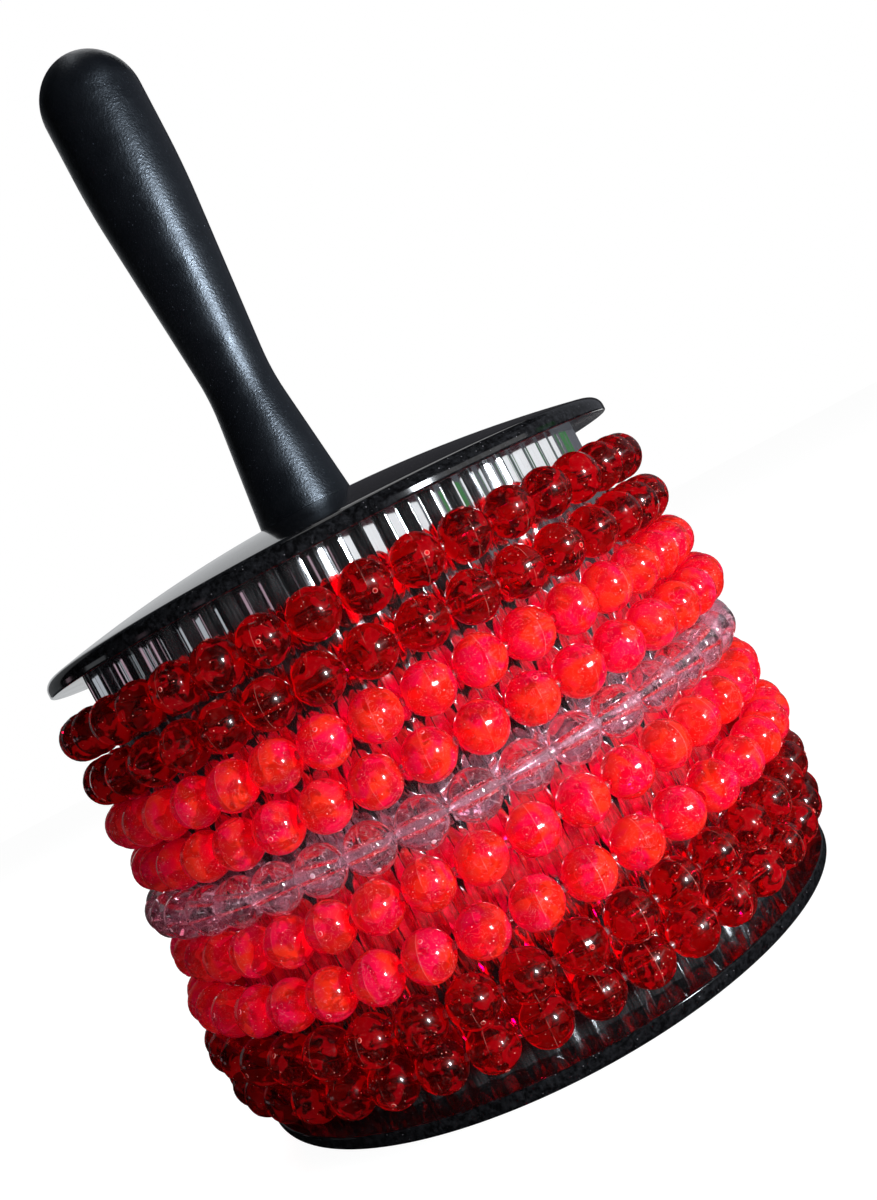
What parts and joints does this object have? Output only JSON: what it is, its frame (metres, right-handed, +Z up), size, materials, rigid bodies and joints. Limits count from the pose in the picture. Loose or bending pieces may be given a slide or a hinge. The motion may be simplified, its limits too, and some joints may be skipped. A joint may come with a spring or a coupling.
{
  "type": "cabasa",
  "caption": "Hand-held rattle: loops of round acrylic beads turn on a fluted chromed drum held between two domed end plates, with a club-shaped handle on its axis.",
  "frame": {"origin": "middle of the flat land under the bottom plate, on the drum's axis", "axes": "+Z up along the drum's axis towards the handle's round end; -Y is the pictured front"},
  "size_m": [0.17, 0.1731, 0.2665],
  "materials": {
    "satin_black": "satin, fine-textured moulding",
    "gloss_black": "high gloss",
    "chrome": "polished chrome plate",
    "beech": "turned, unfinished",
    "brass": "turned",
    "zinc_steel": "zinc-plated",
    "garnet_acrylic": "transparent, polished",
    "coral_acrylic": "transparent fluorescent, polished",
    "clear_acrylic": "transparent, polished",
    "cord": "drawn clear nylon line"
  },
  "bodies": {
    "drum": {"handle": "satin_black", "handle_insert": "brass", "top_plate": "gloss_black", "bottom_plate": "gloss_black", "drum_core": "beech", "drum_sleeve": "chrome", "centre_bolt": "zinc_steel", "bolt_washer": "zinc_steel"},
    "bead_loop_1": {"beads_1": "garnet_acrylic", "cord_1": "cord"},
    "bead_loop_2": {"beads_2": "garnet_acrylic", "cord_2": "cord"},
    "bead_loop_3": {"beads_3": "coral_acrylic", "cord_3": "cord"},
    "bead_loop_4": {"beads_4": "coral_acrylic", "cord_4": "cord"},
    "bead_loop_5": {"beads_5": "clear_acrylic", "cord_5": "cord"},
    "bead_loop_6": {"beads_6": "coral_acrylic", "cord_6": "cord"},
    "bead_loop_7": {"beads_7": "coral_acrylic", "cord_7": "cord"},
    "bead_loop_8": {"beads_8": "garnet_acrylic", "cord_8": "cord"},
    "bead_loop_9": {"beads_9": "garnet_acrylic", "cord_9": "cord"}
  },
  "joints": [
    {"name": "loop_1_spin", "type": "hinge", "parent": "drum", "child": "bead_loop_1", "pos_m": [0, 0, 0.113], "axis": [0, 0, 1], "continuous": true},
    {"name": "loop_2_spin", "type": "hinge", "parent": "drum", "child": "bead_loop_2", "pos_m": [0, 0, 0.1013], "axis": [0, 0, 1], "continuous": true},
    {"name": "loop_3_spin", "type": "hinge", "parent": "drum", "child": "bead_loop_3", "pos_m": [0, 0, 0.0896], "axis": [0, 0, 1], "continuous": true},
    {"name": "loop_4_spin", "type": "hinge", "parent": "drum", "child": "bead_loop_4", "pos_m": [0, 0, 0.0779], "axis": [0, 0, 1], "continuous": true},
    {"name": "loop_5_spin", "type": "hinge", "parent": "drum", "child": "bead_loop_5", "pos_m": [0, 0, 0.0662], "axis": [0, 0, 1], "continuous": true},
    {"name": "loop_6_spin", "type": "hinge", "parent": "drum", "child": "bead_loop_6", "pos_m": [0, 0, 0.0545], "axis": [0, 0, 1], "continuous": true},
    {"name": "loop_7_spin", "type": "hinge", "parent": "drum", "child": "bead_loop_7", "pos_m": [0, 0, 0.0428], "axis": [0, 0, 1], "continuous": true},
    {"name": "loop_8_spin", "type": "hinge", "parent": "drum", "child": "bead_loop_8", "pos_m": [0, 0, 0.0311], "axis": [0, 0, 1], "continuous": true},
    {"name": "loop_9_spin", "type": "hinge", "parent": "drum", "child": "bead_loop_9", "pos_m": [0, 0, 0.0194], "axis": [0, 0, 1], "continuous": true}
  ]
}
